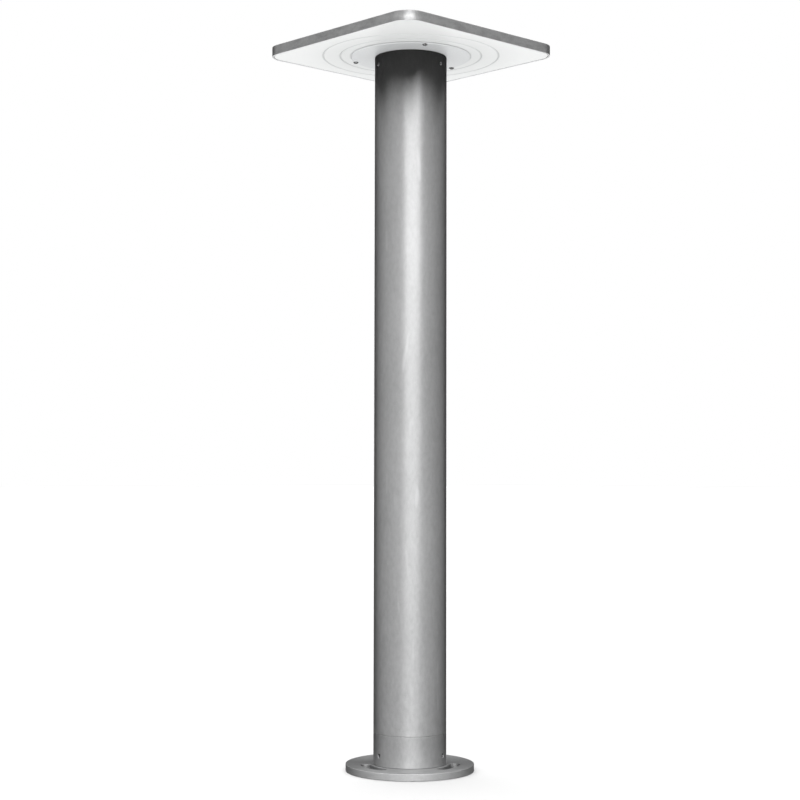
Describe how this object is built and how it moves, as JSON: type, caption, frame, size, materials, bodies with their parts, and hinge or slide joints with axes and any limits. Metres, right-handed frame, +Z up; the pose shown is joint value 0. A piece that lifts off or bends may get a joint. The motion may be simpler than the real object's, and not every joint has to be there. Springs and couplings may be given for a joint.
{
  "type": "bollard light",
  "caption": "Round aluminium bollard light on a slotted base flange, with a flat square head that shines down through an opal panel.",
  "frame": {"origin": "centre of the base flange's underside, on the post's axis", "axes": "+Z up along the post; +X and +Y square to the head's sides at rest"},
  "size_m": [0.29, 0.29, 1],
  "materials": {
    "brushed_aluminium": "blasted and clear anodised, satin",
    "hub_aluminium": "turned face, bright",
    "coated_aluminium": "fine grey powder coat",
    "stainless_steel": "bright passivated",
    "galvanised_steel": "zinc plated",
    "opal_acrylic": "white opal, satin",
    "black_rubber": "matt",
    "grey_nylon": "moulded",
    "white_plastic": "moulded",
    "brass": "tinned",
    "earth_insulation": "green insulation",
    "board_mask": "white solder mask"
  },
  "bodies": {
    "post": {"post_tube": "brushed_aluminium", "base_flange": "coated_aluminium", "base_collar": "brushed_aluminium", "base_spigot": "coated_aluminium", "post_lead": "black_rubber", "gear_tray": "galvanised_steel", "led_driver": "white_plastic", "terminal_block": "white_plastic", "cable_clamp": "grey_nylon", "terminal_lead": "grey_nylon", "connector_socket": "grey_nylon", "earth_eyelet": "brass", "earth_lead": "earth_insulation", "earth_bolt": "stainless_steel", "earth_washer": "stainless_steel", "earth_nut": "stainless_steel", "terminal_block_screw": "stainless_steel", "cable_clamp_screw": "stainless_steel", "collar_screw_1": "stainless_steel", "collar_screw_2": "stainless_steel", "collar_screw_3": "stainless_steel", "base_grub_screw_1": "stainless_steel", "base_grub_screw_2": "stainless_steel", "base_grub_screw_3": "stainless_steel", "top_grub_screw_1": "stainless_steel", "top_grub_screw_2": "stainless_steel", "top_grub_screw_3": "stainless_steel", "tray_screw_1": "stainless_steel", "tray_screw_2": "stainless_steel", "driver_screw_1": "stainless_steel", "driver_screw_2": "stainless_steel"},
    "head": {"head_cover": "brushed_aluminium", "heat_spreader": "galvanised_steel", "spreader_nut_1": "stainless_steel", "spreader_nut_2": "stainless_steel", "spreader_nut_3": "stainless_steel", "spreader_nut_4": "stainless_steel", "led_board": "board_mask", "led_board_screw_1": "stainless_steel", "led_board_screw_2": "stainless_steel", "led_board_screw_3": "stainless_steel", "head_gasket": "black_rubber", "diffuser": "opal_acrylic", "hub_plate": "hub_aluminium", "hub_screw_1": "stainless_steel", "hub_screw_2": "stainless_steel", "hub_screw_3": "stainless_steel", "hub_standoff_1": "brass", "hub_standoff_2": "brass", "hub_standoff_3": "brass", "head_spigot": "coated_aluminium", "spigot_bolt_1": "stainless_steel", "spigot_bolt_2": "stainless_steel", "spigot_bolt_3": "stainless_steel", "spigot_o_ring": "black_rubber", "gland_body": "grey_nylon", "gland_nut": "grey_nylon", "head_lead": "black_rubber", "connector_plug": "grey_nylon"}
  },
  "joints": [
    {"name": "head_swivel", "type": "hinge", "parent": "post", "child": "head", "pos_m": [0, 0, 0.9705], "axis": [0, 0, 1], "range_deg": [-180, 180]}
  ]
}
